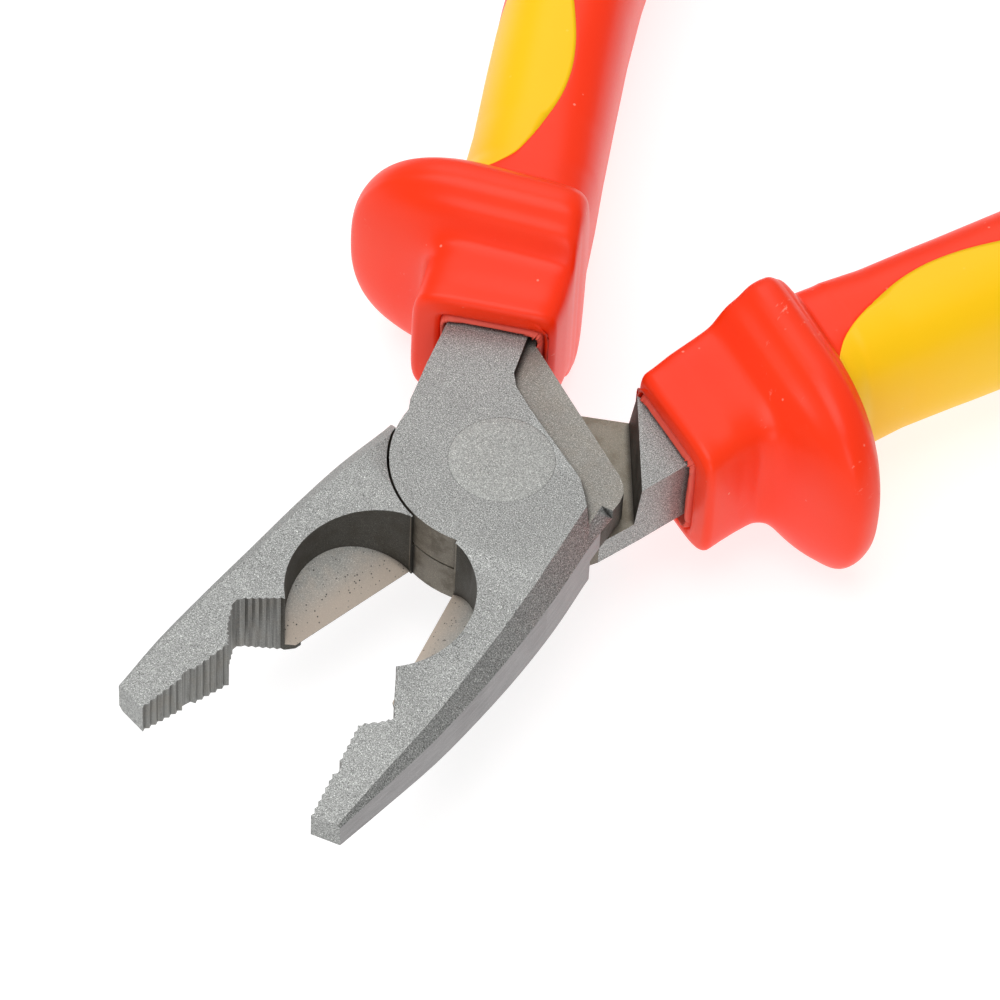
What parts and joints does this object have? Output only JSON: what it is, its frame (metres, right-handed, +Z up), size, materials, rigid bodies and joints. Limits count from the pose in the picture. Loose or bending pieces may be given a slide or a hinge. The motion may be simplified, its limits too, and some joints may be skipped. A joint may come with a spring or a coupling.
{
  "type": "combination pliers",
  "caption": "Combination pliers with serrated jaws, pipe grip, side cutter and lap joint, and insulated two-tone handles with finger guards.",
  "frame": {"origin": "on the pivot axis, at the underside of the rivet and the head", "axes": "+Z up along the pivot, +Y from the jaws towards the handles, +X to the right seen from above"},
  "size_m": [0.1252, 0.1902, 0.03],
  "materials": {
    "blasted_steel": "forged steel, sandblasted grey",
    "rivet_steel": "steel, sandblasted with the head",
    "red_insulation": "satin orange-red moulded plastic",
    "inner_lining": "paler red moulded plastic",
    "yellow_inlay": "satin yellow soft grip"
  },
  "bodies": {
    "upper_body": {"upper_half": "blasted_steel", "pivot_rivet": "rivet_steel", "left_liner": "inner_lining", "left_sleeve": "red_insulation", "left_front_inlay": "yellow_inlay", "left_rear_inlay": "yellow_inlay"},
    "lower_body": {"lower_half": "blasted_steel", "right_liner": "inner_lining", "right_sleeve": "red_insulation", "right_front_inlay": "yellow_inlay", "right_rear_inlay": "yellow_inlay"}
  },
  "joints": [
    {"name": "pivot", "type": "hinge", "parent": "upper_body", "child": "lower_body", "pos_m": [0, 0, 0.0054], "axis": [0, 0, -1], "range_deg": [-25.5, 12]}
  ]
}
